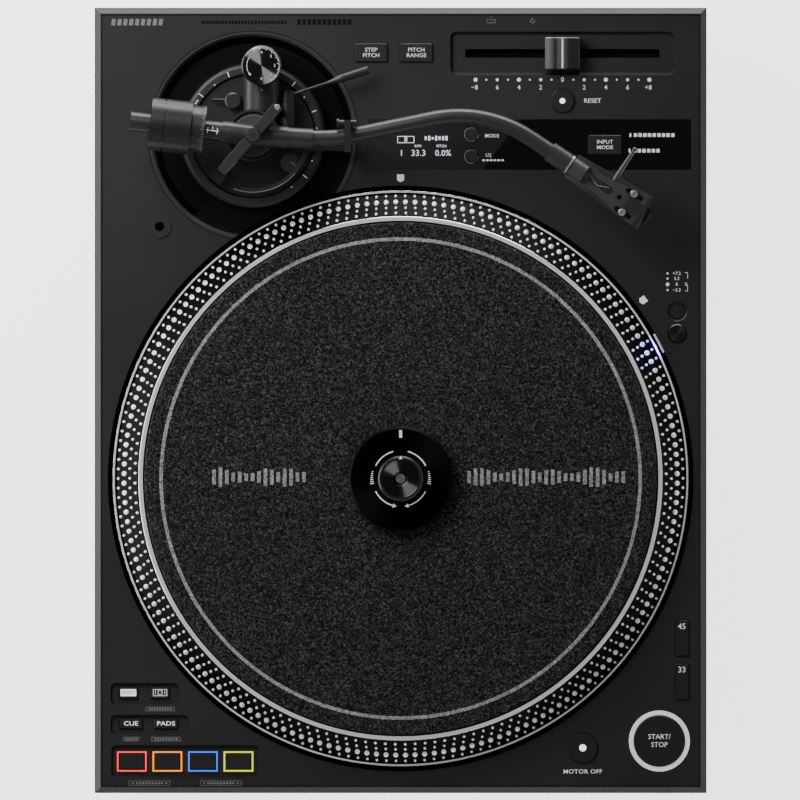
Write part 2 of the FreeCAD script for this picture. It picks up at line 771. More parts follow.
def top_panel():
    """The painted metal panel with its wells, pockets and key holes."""
    rim = BEVEL + BEVEL_LAND + PANEL_GAP
    panel = block(LEFT + rim, RIGHT - rim, FRONT + rim, REAR - rim, PANEL_UNDER, PANEL_TOP)
    adds = [post(SOCKET_AT[0], SOCKET_AT[1], SOCKET_BOSS_R, PANEL_TOP - SOCKET_DEPTH - 2,
                 PANEL_TOP + SOCKET_RIM)]
    for x, y in BOARD_POSTS:
        adds.append(post(x, y, POST_R, BOARD_TOP, PANEL_UNDER))
    panel = join(panel, adds)
    cuts = [
        post(PLATTER_X, PLATTER_Y, WELL_R, PANEL_UNDER, PANEL_TOP),
        post(PIVOT_X, PIVOT_Y, PAN_R, PANEL_UNDER, PANEL_TOP),
        post(SOCKET_AT[0], SOCKET_AT[1], SOCKET_R, PANEL_TOP - SOCKET_DEPTH + SOCKET_RIM,
             PANEL_TOP + SOCKET_RIM),
        fader_recess(RECESS_DEPTH),
        slab(FADER_AT[0] - FADER_SLOT_L / 2, FADER_AT[0] + FADER_SLOT_L / 2,
             FADER_AT[1] - FADER_SLOT_W / 2, FADER_AT[1] + FADER_SLOT_W / 2,
             1.0, PANEL_UNDER, PANEL_TOP),
        Part.Face(window_wire(0.0, PANEL_TOP - WINDOW_T)).extrude(V(0, 0, WINDOW_T)),
        Part.Face(window_wire(WINDOW_LEDGE, PANEL_UNDER)).extrude(V(0, 0, PANEL_T)),
        post(START_AT[0], START_AT[1], START_RING_OUT, PANEL_UNDER, PANEL_TOP),
        post(TARGET_AT[0], TARGET_AT[1], TARGET_R + KEY_GAP, PANEL_UNDER, PANEL_TOP),
        turned([(0, PANEL_TOP - DIMPLE_DEPTH), (DIMPLE_FLOOR_R, PANEL_TOP - DIMPLE_DEPTH),
                (DIMPLE_R, PANEL_TOP), (0, PANEL_TOP)],
               KEYS["light_button"][0], KEYS["light_button"][1]),
    ]
    for x0, x1, y0, y1 in (PAD_RECESS, MODE_RECESS, SHIFT_RECESS):
        cuts.append(dish(x0, x1, y0, y1, RECESS_CORNER, PANEL_TOP - RECESS_DEPTH, PANEL_TOP,
                         KEY_RECESS_FLARE))
    for name in KEYS:
        if name not in WINDOW_KEYS and name != "start_stop_button":
            cuts.append(key_body(name, PANEL_UNDER, PANEL_TOP, KEY_GAP))
    return panel.cut(cuts)


def display_window():
    """The glossy plate over the display, with holes for the keys beside it."""
    face = Part.Face(window_wire(PANEL_GAP, PANEL_TOP - WINDOW_T))
    plate = face.extrude(V(0, 0, WINDOW_T))
    holes = [key_body(name, PANEL_TOP - WINDOW_T, PANEL_TOP, KEY_GAP) for name in WINDOW_KEYS]
    return plate.cut(holes)


def circuit_boards():
    """Control boards with their switches, the main board, the power supply and the fader body."""
    pieces = []
    for x0, x1, y0, y1 in BOARD_AREAS:
        pieces.append(block(x0, x1, y0, y1, BOARD_TOP - BOARD_T, BOARD_TOP))
    rear_board = pieces[0]
    left_board = pieces[1].fuse(pieces[2])
    right_board = pieces[3].fuse(pieces[4])
    half = SWITCH_SIZE / 2
    boards = [rear_board, left_board, right_board]
    for name in KEYS:
        x, y = KEYS[name][:2]
        if name == "light_button":
            continue
        switch = block(x - half, x + half, y - half, y + half, BOARD_TOP, BOARD_TOP + SWITCH_H)
        if x < LEFT_BANK_EDGE:
            boards[1] = boards[1].fuse(switch)
        elif y < 0:
            boards[2] = boards[2].fuse(switch)
        else:
            boards[0] = boards[0].fuse(switch)
    reach = FADER_SLOT_L / 2 + FADER_BODY_MARGIN
    fader = block(FADER_AT[0] - reach, FADER_AT[0] + reach, FADER_AT[1] - FADER_BODY_MARGIN,
                  FADER_AT[1] + FADER_BODY_MARGIN, BOARD_TOP, BOARD_TOP + FADER_BODY_H)
    boards[0] = boards[0].fuse(fader)
    x0, x1, y0, y1 = MAIN_BOARD
    main = block(x0, x1, y0, y1, MAIN_BOARD_Z, MAIN_BOARD_Z + BOARD_T)
    for index in range(CHIP_COUNT):
        chip_x = x0 + CHIP_FIRST + index * CHIP_PITCH
        chip = block(chip_x, chip_x + CHIP_SIDE, y0 + CHIP_FRONT, y0 + CHIP_FRONT + CHIP_SIDE,
                     MAIN_BOARD_Z + BOARD_T, MAIN_BOARD_Z + BOARD_T + CHIP_H)
        main = main.fuse(chip)
    supply = block(*SUPPLY_BOARD, COVER_FLOOR, COVER_FLOOR + BOARD_T)
    transformer = block(*TRANSFORMER, COVER_FLOOR + BOARD_T, COVER_FLOOR + TRANSFORMER_TOP)
    capacitor = post(*CAPACITOR_AT, CAPACITOR_R, COVER_FLOOR + BOARD_T,
                     COVER_FLOOR + CAPACITOR_TOP)
    supply = supply.multiFuse([transformer, capacitor])
    return Part.makeCompound([shape.removeSplitter() for shape in boards + [main, supply]])


def light_guides():
    """The glowing ring round the start key and the strobe lamp's lens in the well's rim."""
    ring = post(START_AT[0], START_AT[1], START_RING_OUT, PANEL_UNDER,
                PANEL_TOP + LIGHT_RING_PROUD)
    ring = ring.cut(post(START_AT[0], START_AT[1], START_RING_IN, PANEL_UNDER,
                         PANEL_TOP + LIGHT_RING_PROUD))
    dx = TARGET_AT[0] - PLATTER_X
    dy = TARGET_AT[1] - PLATTER_Y
    heading = math.degrees(math.atan2(dy, dx))
    lens = block(WELL_R - LENS_T, WELL_R, -LENS_HALF_W, LENS_HALF_W, WELL_FLOOR + LENS_MARGIN,
                 PANEL_TOP - LENS_MARGIN)
    lens.rotate(V(0, 0, 0), V(0, 0, 1), heading)
    lens.translate(V(PLATTER_X, PLATTER_Y, 0))
    lens = lens.common(post(PLATTER_X, PLATTER_Y, WELL_R, WELL_FLOOR, PANEL_TOP))
    return Part.makeCompound([ring, lens])


def rear_jack_panel():
    """The sunk steel plate in the rear wall that carries the sockets."""
    y1 = REAR - FRAME_WALL
    y0 = REAR - JACK_DEPTH - JACK_WALL
    tray = block(JACK_X0 - JACK_WALL, JACK_X1 + JACK_WALL, y0, y1,
                 JACK_Z0 - JACK_WALL, JACK_Z1 + JACK_WALL)
    hollow = block(JACK_X0, JACK_X1, y0 + JACK_WALL, y1, JACK_Z0, JACK_Z1)
    cuts = [hollow, rocker_hole()]
    for solid in rear_socket_blanks():
        cuts.append(solid)
    return tray.cut(cuts)


def rocker_hole():
    half_w = ROCKER_W / 2 + KEY_GAP
    half_h = ROCKER_H / 2 + ROCKER_EDGE_GAP
    y0 = REAR - JACK_DEPTH - JACK_WALL
    return block(ROCKER_X - half_w, ROCKER_X + half_w, y0, y0 + JACK_WALL,
                 JACK_Z - half_h, JACK_Z + half_h)


def rear_socket_blanks():
    """The outer forms of the sockets, which the plate's holes fit."""
    y0 = REAR - JACK_DEPTH - JACK_WALL
    face = REAR - JACK_DEPTH
    blanks = []
    for x in RCA_XS:
        blanks.append(rod(V(x, y0 - RCA_BACK, JACK_Z), V(x, face + RCA_L, JACK_Z), RCA_R))
    blanks.append(rod(V(GROUND_X, y0 - GROUND_BACK, JACK_Z), V(GROUND_X, face + RCA_L, JACK_Z), GROUND_R))
    blanks.append(block(INLET_X - INLET_HALF_W, INLET_X + INLET_HALF_W, y0 - INLET_BACK,
                        face + SOCKET_PROUD, JACK_Z - INLET_HALF_H, JACK_Z + INLET_HALF_H))
    blanks.append(block(PORT_X - PORT_HALF_W, PORT_X + PORT_HALF_W, y0 - PORT_BACK,
                        face + SOCKET_PROUD, JACK_Z - PORT_HALF_H, JACK_Z + PORT_HALF_H))
    return blanks


def rear_sockets():
    """Two phono jacks, the ground post, the mains inlet and the data port."""
    face = REAR - JACK_DEPTH
    blanks = rear_socket_blanks()
    pieces = []
    for index in range(2):
        x = RCA_XS[index]
        collar = rod(V(x, face, JACK_Z), V(x, face + RCA_FLANGE_T, JACK_Z), RCA_R + RCA_FLANGE)
        hole = rod(V(x, face + RCA_FLANGE_T, JACK_Z), V(x, face + RCA_L, JACK_Z), RCA_BORE)
        pieces.append(blanks[index].fuse(collar).cut(hole))
    nut = rod(V(GROUND_X, face, JACK_Z), V(GROUND_X, face + GROUND_NUT_T, JACK_Z), GROUND_NUT_R)
    pieces.append(blanks[2].fuse(nut))
    mouth_w = INLET_HALF_W - INLET_WALL
    mouth_h = INLET_HALF_H - INLET_WALL
    inlet = blanks[3].cut(block(INLET_X - mouth_w, INLET_X + mouth_w, face - INLET_MOUTH,
                                face + SOCKET_PROUD, JACK_Z - mouth_h, JACK_Z + mouth_h))
    for dx, dz in BLADES:
        blade = block(INLET_X + dx - BLADE_HALF_W, INLET_X + dx + BLADE_HALF_W, face - INLET_MOUTH,
                      face - 1, JACK_Z + dz - BLADE_HALF_H, JACK_Z + dz + BLADE_HALF_H)
        inlet = inlet.fuse(blade)
    pieces.append(inlet)
    port = blanks[4].cut(block(PORT_X - PORT_MOUTH_HALF_W, PORT_X + PORT_MOUTH_HALF_W,
                               face - PORT_MOUTH, face + SOCKET_PROUD,
                               JACK_Z - PORT_MOUTH_HALF_H, JACK_Z + PORT_MOUTH_HALF_H))
    tongue = block(PORT_X - TONGUE_HALF_W, PORT_X + TONGUE_HALF_W, face - PORT_MOUTH, face,
                   JACK_Z - TONGUE_HALF_H, JACK_Z + TONGUE_HALF_H)
    pieces.append(port.fuse(tongue))
    return Part.makeCompound([piece.removeSplitter() for piece in pieces])


def power_switch():
    """The rocker: two faces that meet in a shallow valley at its pivot."""
    y = REAR - JACK_DEPTH
    half = ROCKER_H / 2
    points = [
        V(ROCKER_X - ROCKER_W / 2, y - ROCKER_BACK, JACK_Z - half + 2),
        V(ROCKER_X - ROCKER_W / 2, y + ROCKER_CREST, JACK_Z - half),
        V(ROCKER_X - ROCKER_W / 2, y + ROCKER_VALLEY, JACK_Z),
        V(ROCKER_X - ROCKER_W / 2, y + ROCKER_CREST, JACK_Z + half),
        V(ROCKER_X - ROCKER_W / 2, y - ROCKER_BACK, JACK_Z + half - 2),
    ]
    side = Part.Face(Part.makePolygon(points + [points[0]]))
    pins = rod(V(ROCKER_X - ROCKER_W / 2 - ROCKER_PIN, y - JACK_WALL / 2, JACK_Z),
               V(ROCKER_X + ROCKER_W / 2 + ROCKER_PIN, y - JACK_WALL / 2, JACK_Z), ROCKER_PIN_R)
    return side.extrude(V(ROCKER_W, 0, 0)).fuse(pins)


# ---------------------------------------------------------------- platter and drive
def platter_well():
    """The pan that the platter turns in, hung under the top panel."""
    floor = post(PLATTER_X, PLATTER_Y, WELL_OUT, WELL_FLOOR - WELL_FLOOR_T, PANEL_UNDER)
    room = post(PLATTER_X, PLATTER_Y, WELL_R, WELL_FLOOR, PANEL_UNDER)
    bore = post(PLATTER_X, PLATTER_Y, SPINDLE_R + HOUSING_WALL, WELL_FLOOR - WELL_FLOOR_T, WELL_FLOOR)
    return floor.cut([room, bore])


def bearing_housing():
    """The bronze-bushed tube that the spindle turns in, closed by a thrust plate."""
    outer = SPINDLE_R + HOUSING_WALL
    bore = SPINDLE_R + RUN_FIT
    profile = [
        (0, HOUSING_BOTTOM),
        (outer, HOUSING_BOTTOM),
        (outer, WELL_FLOOR),
        (outer + HOUSING_FLANGE, WELL_FLOOR),
        (outer + HOUSING_FLANGE, WELL_FLOOR + FLANGE_T),
        (outer, WELL_FLOOR + FLANGE_T),
        (outer, HOUSING_TOP),
        (bore, HOUSING_TOP),
        (bore, HOUSING_BOTTOM + THRUST_T),
        (0, HOUSING_BOTTOM + THRUST_T),
    ]
    return turned(profile, PLATTER_X, PLATTER_Y)


def stator_coils():
    """The ring of drive coils on their carrier."""
    middle = (MAGNET_IN + MAGNET_OUT) / 2
    base_in = middle - COIL_R - CARRIER_IN
    base_out = middle + COIL_R + CARRIER_OUT
    carrier = post(PLATTER_X, PLATTER_Y, base_out, WELL_FLOOR, WELL_FLOOR + CARRIER_T)
    carrier = carrier.cut(post(PLATTER_X, PLATTER_Y, base_in, WELL_FLOOR,
                               WELL_FLOOR + CARRIER_T))
    coils = []
    for index in range(COIL_COUNT):
        angle = 2 * math.pi * index / COIL_COUNT
        x = PLATTER_X + middle * math.cos(angle)
        y = PLATTER_Y + middle * math.sin(angle)
        coil = post(x, y, COIL_R, WELL_FLOOR + CARRIER_T, COIL_TOP)
        coils.append(coil.cut(post(x, y, COIL_BORE, WELL_FLOOR + CARRIER_T, COIL_TOP)))
    return join(carrier, coils)


def spindle():
    """One shaft: running journal, taper that grips the platter, and the centre pin."""
    profile = [
        (0, HOUSING_BOTTOM + THRUST_T + THRUST_GAP),
        (SPINDLE_R, HOUSING_BOTTOM + THRUST_T + THRUST_GAP),
        (SPINDLE_R, HUB_BOTTOM),
        (CONE_BASE_R, HUB_BOTTOM),
        (CONE_TOP_R, CONE_TOP),
        (SPINDLE_PIN_R, CONE_TOP),
        (SPINDLE_PIN_R, SPINDLE_TOP - 1),
        (SPINDLE_PIN_R - PIN_TIP, SPINDLE_TOP),
        (0, SPINDLE_TOP),
    ]
    return turned(profile, PLATTER_X, PLATTER_Y)


def platter():
    """The cast platter: lip, dotted slope, bright ring, mat seat, web, skirt and hub."""
    web = PLATTER_SEAT - WEB_T
    slope_out = PLATTER_R - LIP_W
    slope_in = slope_out - SLOPE_W
    seat_r = slope_in - RING_W
    ring_top = PLATTER_SEAT + RING_RISE
    bevel = PLATTER_BEVEL
    profile = [
        (0, HUB_BOTTOM),
        (HUB_R, HUB_BOTTOM),
        (HUB_R, web),
        (seat_r - 2, web),
        (PLATTER_R - SKIRT_T, SKIRT_BOTTOM),
        (PLATTER_R, SKIRT_BOTTOM),
        (PLATTER_R, LIP_TOP - bevel),
        (PLATTER_R - bevel, LIP_TOP),
        (slope_out + bevel, LIP_TOP),
        (slope_out, LIP_TOP - bevel),
        (slope_out, LIP_TOP - 1),
        (slope_in, PLATTER_SEAT - SLOPE_STEP),
        (slope_in, ring_top - bevel),
        (slope_in - bevel, ring_top),
        (seat_r + bevel, ring_top),
        (seat_r, ring_top - bevel),
        (seat_r, PLATTER_SEAT),
        (0, PLATTER_SEAT),
    ]
    return turned(profile, PLATTER_X, PLATTER_Y).cut(spindle())


def rotor_magnet():
    web = PLATTER_SEAT - WEB_T
    ring = post(PLATTER_X, PLATTER_Y, MAGNET_OUT, web - MAGNET_T, web)
    return ring.cut(post(PLATTER_X, PLATTER_Y, MAGNET_IN, web - MAGNET_T, web))


def slipmat():
    """The felt disc that the record rides on."""
    radius = PLATTER_R - LIP_W - SLOPE_W - RING_W - MAT_EDGE_GAP
    low = PLATTER_SEAT + MAT_GAP
    mat = post(PLATTER_X, PLATTER_Y, radius, low, low + MAT_T)
    hole = SPINDLE_PIN_R + MAT_HOLE_CLEAR
    return mat.cut(post(PLATTER_X, PLATTER_Y, hole, low, low + MAT_T))


CLAMP_BOTTOM = PLATTER_SEAT + MAT_GAP + MAT_T + CLAMP_GAP
CLAMP_BORE = SPINDLE_PIN_R + RUN_FIT
DIAL_SEAT_DROP = 1.5
DIAL_SEAT = CLAMP_BOTTOM + CLAMP_H - DIAL_SEAT_DROP


def clamp_body():
    """The weighted disc that sits on the mat, with a sunk seat for its dial."""
    top = CLAMP_BOTTOM + CLAMP_H
    groove = CLAMP_GROOVE_W
    profile = [
        (CLAMP_BORE, CLAMP_BOTTOM),
        (CLAMP_R - 1, CLAMP_BOTTOM),
        (CLAMP_R, CLAMP_BOTTOM + 1),
        (CLAMP_R, top - 2),
        (CLAMP_R - CLAMP_EDGE, top - CLAMP_STEP),
        (CLAMP_RING_R + groove, top - 0.5),
        (CLAMP_RING_R + groove, top - CLAMP_GROOVE_D),
        (CLAMP_RING_R, top - CLAMP_GROOVE_D),
        (CLAMP_RING_R, top),
        (CLAMP_DIAL_R + DIAL_GAP, top),
        (CLAMP_DIAL_R + DIAL_GAP, DIAL_SEAT),
        (CLAMP_BORE, DIAL_SEAT),
    ]
    return turned(profile, PLATTER_X, PLATTER_Y)


def clamp_dial():
    """The grip in the middle of the clamp, with a dished bright top."""
    low = DIAL_SEAT + CLAMP_GAP
    top = low + CLAMP_DIAL_H
    profile = [
        (CLAMP_BORE, low),
        (CLAMP_DIAL_R, low),
        (CLAMP_DIAL_R, top - 1),
        (CLAMP_DIAL_R - 1, top),
        (CLAMP_DIAL_R - 2, top),
        (CLAMP_DIAL_R - DIAL_RIM, top - DIAL_DISH),
        (CLAMP_BORE + DIAL_DISH, top - DIAL_DISH),
        (CLAMP_BORE, top - 2 * DIAL_DISH),
    ]
    return turned(profile, PLATTER_X, PLATTER_Y)


# ---------------------------------------------------------------- tonearm base
def arm_base_pan():
    """The round pan in the panel that the arm's height ring and column stand in."""
    deck = pan_outline(PANEL_UNDER, PANEL_TOP, WELL_R)
    under = pan_outline(PAN_BOTTOM, PANEL_UNDER, WELL_OUT + 0.2)
    guide = post(PIVOT_X, PIVOT_Y, GUIDE_R, GUIDE_BOTTOM, PAN_BOTTOM)
    pan = join(deck, [under, guide])
    ring_room = RING_OUT + RING_GAP
    groove = post(PIVOT_X, PIVOT_Y, ring_room, PAN_FLOOR, PANEL_TOP)
    valley_out = PAN_R - PAN_RIM
    valley = turned([(0, PAN_FLOOR), (valley_out - 4, PAN_FLOOR), (valley_out, PANEL_TOP - 2),
                     (valley_out + 1.5, PANEL_TOP), (0, PANEL_TOP)], PIVOT_X, PIVOT_Y)
    keep = pie(PAN_R + 5, PAN_FLAT_FROM, PAN_FLAT_TO, PAN_FLOOR, PANEL_TOP)
    bore = post(PIVOT_X, PIVOT_Y, COLUMN_R + RUN_FIT, GUIDE_BOTTOM, PANEL_TOP)
    return pan.cut([groove, valley.cut(keep), bore])


def height_ring():
    """The knurled ring that is turned to raise the arm."""
    low = PAN_FLOOR + 0.2
    profile = [
        (RING_IN, low),
        (RING_OUT, low),
        (RING_OUT, HEIGHT_RING_TOP - RING_SKIRT),
        (RING_OUT - RING_EDGE, HEIGHT_RING_TOP - 1),
        (RING_OUT - RING_SHOULDER, HEIGHT_RING_TOP),
        (RING_IN + RING_INNER_EDGE, HEIGHT_RING_TOP),
        (RING_IN, HEIGHT_RING_TOP - RING_INNER_EDGE),
    ]
    return turned(profile, PIVOT_X, PIVOT_Y)


def tower():
    """The anti-skate housing: a half-round tunnel that ends in an upright drum."""
    x, y = ANTISKATE_AT
    half = TOWER_W / 2
    start = PILLAR_R - 1.0
    axis_z = ANTISKATE_BASE - 1.0 - half
    tunnel = block(PIVOT_X + x - half, PIVOT_X + x + half, PIVOT_Y + start, PIVOT_Y + y,
                   TOWER_BOTTOM, axis_z)
    crown = rod(V(PIVOT_X + x, PIVOT_Y + start, axis_z), V(PIVOT_X + x, PIVOT_Y + y, axis_z), half)
    crown = crown.cut(block(PIVOT_X - 60, PIVOT_X + 60, PIVOT_Y, PIVOT_Y + 80,
                            TOWER_BOTTOM - 20, TOWER_BOTTOM))
    drum = post(PIVOT_X + x, PIVOT_Y + y, half, TOWER_BOTTOM, ANTISKATE_BASE)
    foot_block = block(PIVOT_X + x - half, PIVOT_X + x + half, PIVOT_Y + start, PIVOT_Y + 31,
                       BASE_PLATE_TOP, TOWER_BOTTOM)
    return [tunnel, crown, drum, foot_block]


def cue_housing():
    """The damper cylinder of the cueing lever, on its pedestal."""
    x, y = CUE_AT
    x = PIVOT_X + x
    y0 = PIVOT_Y + y - CUE_L / 2
    barrel = rod(V(x, y0, CUE_Z), V(x, y0 + CUE_L, CUE_Z), CUE_R)
    pedestal = block(x - CUE_R, x + CUE_R, y0 + 1, y0 + CUE_L - 2, BASE_PLATE_TOP, CUE_Z)
    return [barrel, pedestal]


def arm_rest():
    """The post and open cradle that the arm parks on."""
    x, y = REST_AT
    seat_z = ARM_Z - TUBE_R - REST_GAP
    foot_z = HEIGHT_RING_TOP + REST_FOOT_GAP
    centre = from_pivot(REST_AT, 0)
    x0 = PIVOT_X + REST_ARM_FROM
    y0 = PIVOT_Y + y - REST_ARM_FAR
    y1 = PIVOT_Y + y - REST_ARM_NEAR
    bracket = block(x0, centre.x + SADDLE_HALF_W, y0, y1, foot_z, foot_z + REST_ARM_T)
    riser = block(x0, x0 + REST_RISER_W, y0, y1, BASE_PLATE_TOP, foot_z)
    stem = post(centre.x, centre.y, REST_STEM_R, foot_z, seat_z)
    wall_y = centre.y + TUBE_R + SADDLE_WALL_GAP
    rear_y = wall_y + SADDLE_WALL_T
    saddle = block(centre.x - SADDLE_HALF_W, centre.x + SADDLE_HALF_W, centre.y - SADDLE_FRONT,
                   rear_y, seat_z - SADDLE_T, seat_z)
    wall = block(centre.x - SADDLE_HALF_W, centre.x + SADDLE_HALF_W, wall_y, rear_y,
                 seat_z, ARM_Z + 1)
    return [bracket, riser, stem, saddle, wall]


def arm_base():
    """The plate and column that carry everything on the arm and rise with the height ring."""
    plate_r = RING_IN - RING_GAP
    plate = post(PIVOT_X, PIVOT_Y, plate_r, PANEL_TOP, BASE_PLATE_TOP)
    column = post(PIVOT_X, PIVOT_Y, COLUMN_R, GUIDE_BOTTOM - 4, PANEL_TOP)
    pillar = post(PIVOT_X, PIVOT_Y, PILLAR_R, BASE_PLATE_TOP, PILLAR_TOP)
    dish_cut = post(PIVOT_X, PIVOT_Y, PILLAR_R - PILLAR_WALL, PILLAR_TOP - 2, PILLAR_TOP)
    inner = post(PIVOT_X, PIVOT_Y, PILLAR_R - PILLAR_DISC_IN, PILLAR_TOP - 2,
                 PILLAR_TOP - PILLAR_DISC_DROP)
    base = join(plate, [column, pillar])
    base = base.cut(dish_cut)
    hub = from_pivot(LIFT_HUB_AT, 0)
    guide_top = LIFT_TOP - LIFT_BAR_T - LIFT_HEAD_T - 0.5
    guide = post(hub.x, hub.y, LIFT_GUIDE_R, BASE_PLATE_TOP, guide_top)
    base = join(base, [inner, guide] + tower() + cue_housing() + arm_rest())
    cuts = [
        post(PIVOT_X, PIVOT_Y, YAW_PIN_R + RUN_FIT, PILLAR_TOP - 10, PILLAR_TOP),
        post(hub.x, hub.y, LIFT_PISTON_R + RUN_FIT, PANEL_TOP + 0.5, guide_top),
        lever_bore(),
        gimbal_bridge(),
    ]
    return base.cut(cuts)


def lever_bore():
    x, y = CUE_AT
    x = PIVOT_X + x
    y1 = PIVOT_Y + y + CUE_L / 2
    return rod(V(x, y1 - CUE_AXLE_L - 1, CUE_Z), V(x, y1, CUE_Z), CUE_AXLE_R + RUN_FIT)


def gimbal_bridge():
    """The fixed arch over the pivot, on two posts, with the upper bearing cap."""
    low = ARM_Z + GIMBAL_HALF_H + GIMBAL_WALL + GIMBAL_GAP
    half = BRIDGE_W / 2
    beam = block(PIVOT_X - BRIDGE_POST_B, PIVOT_X + BRIDGE_POST_A, PIVOT_Y - half, PIVOT_Y + half,
                 low, low + BRIDGE_T)
    post_a = block(PIVOT_X + BRIDGE_POST_A - BRIDGE_LEG_A, PIVOT_X + BRIDGE_POST_A,
                   PIVOT_Y - half, PIVOT_Y + half, BASE_PLATE_TOP, low + BRIDGE_T)
    post_b = block(PIVOT_X - BRIDGE_POST_B, PIVOT_X - BRIDGE_POST_B + BRIDGE_LEG_B,
                   PIVOT_Y - half, PIVOT_Y + half, BASE_PLATE_TOP, low + BRIDGE_T)
    toe = block(PIVOT_X - BRIDGE_POST_B - TOE_L, PIVOT_X - BRIDGE_POST_B,
                PIVOT_Y - half - TOE_SIDE, PIVOT_Y + half + TOE_SIDE,
                BASE_PLATE_TOP, BASE_PLATE_TOP + TOE_H)
    cap = taper(V(PIVOT_X, PIVOT_Y, low + BRIDGE_T),
                V(PIVOT_X, PIVOT_Y, low + BRIDGE_T + BRIDGE_CAP_H),
                BRIDGE_CAP_R, BRIDGE_CAP_TOP_R)
    arch = join(beam, [post_a, post_b, toe, cap])
    arch = arch.cut(post(PIVOT_X, PIVOT_Y, YAW_PIN_R + RUN_FIT, low, low + BRIDGE_T))
    return turn_from_x(arch, BRIDGE_DEG)


def gimbal_ring():
    """The yaw frame: it turns on upright pins and holds the arm's level pins."""
    out_w = GIMBAL_HALF_W + GIMBAL_WALL
    out_h = GIMBAL_HALF_H + GIMBAL_WALL
    half = GIMBAL_DEPTH / 2
    frame = block(PIVOT_X - out_w, PIVOT_X + out_w, PIVOT_Y - half, PIVOT_Y + half,
                  ARM_Z - out_h, ARM_Z + out_h)
    room = block(PIVOT_X - GIMBAL_HALF_W, PIVOT_X + GIMBAL_HALF_W, PIVOT_Y - half, PIVOT_Y + half,
                 ARM_Z - GIMBAL_HALF_H, ARM_Z + GIMBAL_HALF_H)
    frame = frame.cut(room)
    lower = post(PIVOT_X, PIVOT_Y, YAW_PIN_R, PILLAR_TOP - YAW_PIN_REACH,
                 ARM_Z - GIMBAL_HALF_H)
    upper = post(PIVOT_X, PIVOT_Y, YAW_PIN_R, ARM_Z + GIMBAL_HALF_H,
                 ARM_Z + out_h + GIMBAL_GAP + YAW_PIN_TOP)
    added = [lower, upper]
    end = out_w + PITCH_NUT_T
    for side in (-1, 1):
        added.append(rod(V(PIVOT_X + side * PITCH_PIN_FROM, PIVOT_Y, ARM_Z),
                         V(PIVOT_X + side * end, PIVOT_Y, ARM_Z), PITCH_PIN_R))
        added.append(rod(V(PIVOT_X + side * out_w, PIVOT_Y, ARM_Z),
                         V(PIVOT_X + side * end, PIVOT_Y, ARM_Z), PITCH_NUT_R))
    return turn_from_x(join(frame, added), BRIDGE_DEG)


def antiskate_dial():
    centre = from_pivot(ANTISKATE_AT, 0)
    low = ANTISKATE_BASE + CLAMP_GAP
    top = low + ANTISKATE_H
    profile = [(0, low), (ANTISKATE_R, low), (ANTISKATE_R, top - DIAL_CHAMFER),
               (ANTISKATE_R - DIAL_CHAMFER, top), (0, top)]
    return turned(profile, centre.x, centre.y)


def height_lock_lever():
    """The small lever that locks the height ring."""
    centre = from_pivot(LOCK_AT, 0)
    low = BASE_PLATE_TOP + CLAMP_GAP
    disc = post(centre.x, centre.y, LOCK_R, low, low + LOCK_H)
    disc = disc.makeChamfer(DIAL_CHAMFER, edges_at(disc, low + LOCK_H))
    bar_y = centre.y + LOCK_BAR_SHIFT
    bar = rod(V(centre.x, bar_y, low + LOCK_BAR_Z),
              V(centre.x - LOCK_BAR_L, bar_y, low + LOCK_BAR_Z), LOCK_BAR_R)
    return join(disc, [bar])


def cue_lever():
    """The cueing lever: hub on the damper's end, thin rod and tapered grip."""
    x, y = CUE_AT
    start_y = PIVOT_Y + y + CUE_L / 2 + 0.2
    x = PIVOT_X + x
    hub = rod(V(x, start_y, CUE_Z), V(x, start_y + CUE_HUB_L, CUE_Z), CUE_R - CUE_HUB_STEP)
    axle = rod(V(x, start_y - CUE_AXLE_L, CUE_Z), V(x, start_y, CUE_Z), CUE_AXLE_R)
    bend = V(x, start_y + CUE_HUB_L / 2, CUE_Z)
    tip = from_pivot(CUE_TIP, CUE_Z - CUE_DROP)
    run = tip.sub(bend)
    neck = bend.add(V(run).multiply(0.5))
    grip = bend.add(V(run).multiply(0.66))
    lever = rod(bend, neck, CUE_ROD_R).fuse(taper(neck, grip, CUE_ROD_R, CUE_GRIP_R))
    lever = lever.fuse(rod(grip, tip, CUE_GRIP_R))
    return join(hub, [axle, lever])


def lift_bar():
    """The curved bar that raises the arm, on its piston."""
    hub = from_pivot(LIFT_HUB_AT, 0)
    low = LIFT_TOP - LIFT_BAR_T
    outer = pie(LIFT_ARC_R + LIFT_ARC_HALF, LIFT_FROM, LIFT_TO, low, LIFT_TOP)
    arc = outer.cut(post(PIVOT_X, PIVOT_Y, LIFT_ARC_R - LIFT_ARC_HALF, low, LIFT_TOP))
    head = post(hub.x, hub.y, LIFT_HUB_R, low - LIFT_HEAD_T, low + 1)
    piston = post(hub.x, hub.y, LIFT_PISTON_R, PANEL_TOP + 1, low - LIFT_HEAD_T)
    arm_out = polar(LIFT_ARC_R, math.degrees(math.atan2(LIFT_HUB_AT[1], LIFT_HUB_AT[0])), low)
    bridge = rod(V(hub.x, hub.y, low + 1), V(arm_out.x, arm_out.y, low + 1), 1.0)
    return join(head, [arc, piston, bridge])


